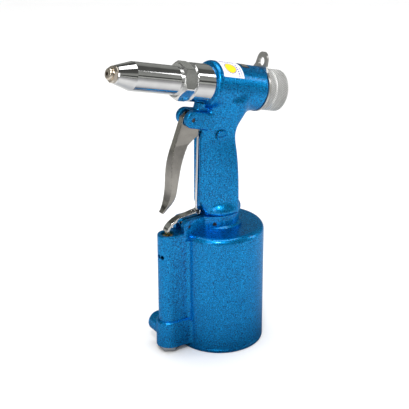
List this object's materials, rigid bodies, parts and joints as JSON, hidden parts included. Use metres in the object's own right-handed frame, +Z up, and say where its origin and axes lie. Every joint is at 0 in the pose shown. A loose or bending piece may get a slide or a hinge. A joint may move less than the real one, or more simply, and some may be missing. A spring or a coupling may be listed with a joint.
{
  "type": "pneumatic rivet gun",
  "caption": "Hand-held air-hydraulic pulling tool: upright air cylinder under a grip, long tilted nose with jaws, lever trigger, side valve tube with air inlet, hanger eye.",
  "frame": {"origin": "centre of the base cap's underside, on the air cylinder's axis", "axes": "+Z up along the air cylinder, -X towards the nose, +Y towards the air inlet"},
  "size_m": [0.1828, 0.084, 0.2909],
  "materials": {
    "blue_paint": "hammered gloss paint on cast aluminium",
    "polished_chrome": "polished plating",
    "nickel": "bright nickel",
    "trigger_steel": "bright plated pressing",
    "knurled_aluminium": "knurled, satin",
    "plate_steel": "brushed",
    "brass": "machined",
    "hardened_steel": "ground",
    "dark_steel": "blackened",
    "machined_aluminium": "machined",
    "seal_rubber": "matt"
  },
  "bodies": {
    "frame": {"handle": "blue_paint", "air_cylinder": "blue_paint", "base_cap": "blue_paint", "neck_set_screw": "dark_steel", "oil_plug": "blue_paint", "oil_plug_washer": "brass", "ram_gland": "brass", "valve_plug": "polished_chrome", "valve_seat": "brass", "valve_bush": "brass", "valve_spring": "plate_steel", "inlet_screen": "plate_steel", "trigger_pin": "dark_steel", "valve_lever_pin": "dark_steel", "head_adapter": "polished_chrome", "lock_nut": "polished_chrome", "nose_housing": "polished_chrome", "nosepiece": "nickel", "return_spring": "plate_steel", "hanger_plate": "plate_steel", "end_plug": "knurled_aluminium", "rear_cap": "knurled_aluminium", "mandrel_tube": "plate_steel", "base_cap_seal": "seal_rubber", "bumper": "seal_rubber", "ram_seal": "seal_rubber", "gland_seal": "seal_rubber", "valve_plug_seal": "seal_rubber", "rod_seal": "seal_rubber", "end_plug_seal": "seal_rubber"},
    "trigger": {"trigger": "trigger_steel"},
    "rod": {"trigger_rod": "polished_chrome", "rod_end_pin": "dark_steel"},
    "lever": {"valve_lever": "trigger_steel"},
    "stem": {"valve_stem": "brass"},
    "motor": {"air_piston": "machined_aluminium", "ram": "hardened_steel", "ram_nut": "plate_steel", "air_piston_seal": "seal_rubber"},
    "draw": {"hydraulic_piston": "hardened_steel", "piston_seal": "seal_rubber", "jaw_case": "hardened_steel", "jaw_pusher_spring": "plate_steel"},
    "pusher": {"jaw_pusher": "hardened_steel"},
    "jaw_1": {"jaw_1": "dark_steel"},
    "jaw_2": {"jaw_2": "dark_steel"},
    "jaw_3": {"jaw_3": "dark_steel"}
  },
  "joints": [
    {"name": "trigger_pull", "type": "hinge", "parent": "frame", "child": "trigger", "pos_m": [-0.0337, 0, 0.2296], "axis": [0, -1, 0], "range_deg": [0, 10], "stiffness_Nm_per_rad": 0.54, "springref_deg": -12.03},
    {"name": "rod_swing", "type": "hinge", "parent": "trigger", "child": "rod", "pos_m": [-0.023, 0, 0.2165], "axis": [0, -1, 0], "range_deg": [-13.2, 0]},
    {"name": "valve_lever_rock", "type": "hinge", "parent": "frame", "child": "lever", "pos_m": [-0.0393, 0, 0.1268], "axis": [0, -1, 0], "range_deg": [0, 11.1]},
    {"name": "valve_stem_press", "type": "slide", "parent": "frame", "child": "stem", "axis": [0, 0, -1], "range_m": [0, 0.0034], "deforming": ["valve_spring"]},
    {"name": "air_piston_lift", "type": "slide", "parent": "frame", "child": "motor", "axis": [0, 0, 1], "range_m": [0, 0.056]},
    {"name": "draw_pull", "type": "slide", "parent": "frame", "child": "draw", "axis": [0.9668, 0, -0.2554], "range_m": [0, 0.01605], "stiffness_N_per_m": 4000, "springref_m": -0.012, "deforming": ["return_spring"]},
    {"name": "jaw_pusher_advance", "type": "slide", "parent": "draw", "child": "pusher", "axis": [-0.9668, 0, 0.2554], "range_m": [0, 0.0016], "deforming": ["jaw_pusher_spring"]},
    {"name": "jaw_1_close", "type": "slide", "parent": "draw", "child": "jaw_1", "axis": [-0.931, -0.2696, 0.246], "range_m": [0, 0.0016]},
    {"name": "jaw_2_close", "type": "slide", "parent": "draw", "child": "jaw_2", "axis": [-0.9907, 0.1348, 0.0202], "range_m": [0, 0.0016]},
    {"name": "jaw_3_close", "type": "slide", "parent": "draw", "child": "jaw_3", "axis": [-0.8714, 0.1348, 0.4717], "range_m": [0, 0.0016]}
  ],
  "couplings": [
    {"joint": "rod_swing", "follows": "trigger_pull", "ratio": -1.3066},
    {"joint": "valve_lever_rock", "follows": "trigger_pull", "ratio": 1.1},
    {"joint": "valve_stem_press", "follows": "trigger_pull", "m_per_rad": 0.019},
    {"joint": "draw_pull", "follows": "air_piston_lift", "ratio": 0.28571},
    {"joint": "jaw_pusher_advance", "follows": "air_piston_lift", "ratio": 0.026786},
    {"joint": "jaw_1_close", "follows": "air_piston_lift", "ratio": 0.027816},
    {"joint": "jaw_2_close", "follows": "air_piston_lift", "ratio": 0.027816},
    {"joint": "jaw_3_close", "follows": "air_piston_lift", "ratio": 0.027816}
  ]
}
